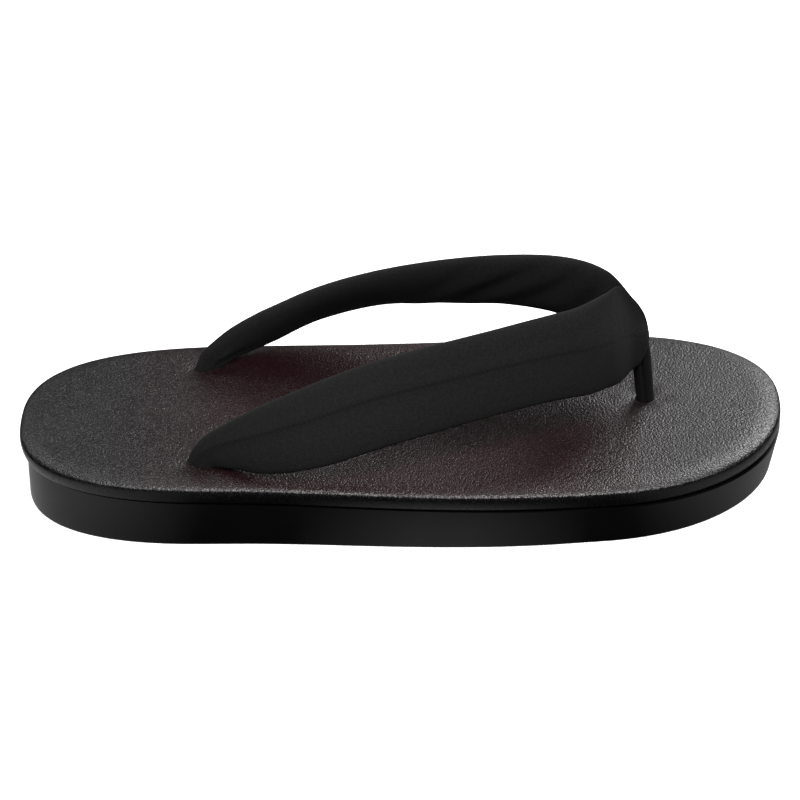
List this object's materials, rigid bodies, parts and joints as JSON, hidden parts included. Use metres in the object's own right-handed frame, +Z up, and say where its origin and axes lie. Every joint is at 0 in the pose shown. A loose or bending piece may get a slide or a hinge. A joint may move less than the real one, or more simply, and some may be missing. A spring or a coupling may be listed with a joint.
{
  "type": "flat-soled thong sandal",
  "caption": "Flat-soled East Asian thong sandal with a foam sole, a padded footbed and wide padded straps that meet at a toe post.",
  "frame": {"origin": "on the floor under the middle of the overall length and width", "axes": "+X towards the toe, +Y towards the inner side of the foot, +Z up"},
  "size_m": [0.265, 0.1049, 0.0706],
  "materials": {
    "foam_rubber": "satin black closed-cell foam rubber, its side cut smooth",
    "leatherette": "fine-grained black leatherette with a low gloss, padded and rolled at the edge",
    "strap_cloth": "closely woven matt black cloth over padding",
    "post_cloth": "folded matt black cloth"
  },
  "bodies": {
    "root": {"outsole": "foam_rubber", "footbed": "leatherette", "straps": "strap_cloth", "toe_post": "post_cloth"}
  },
  "joints": []
}
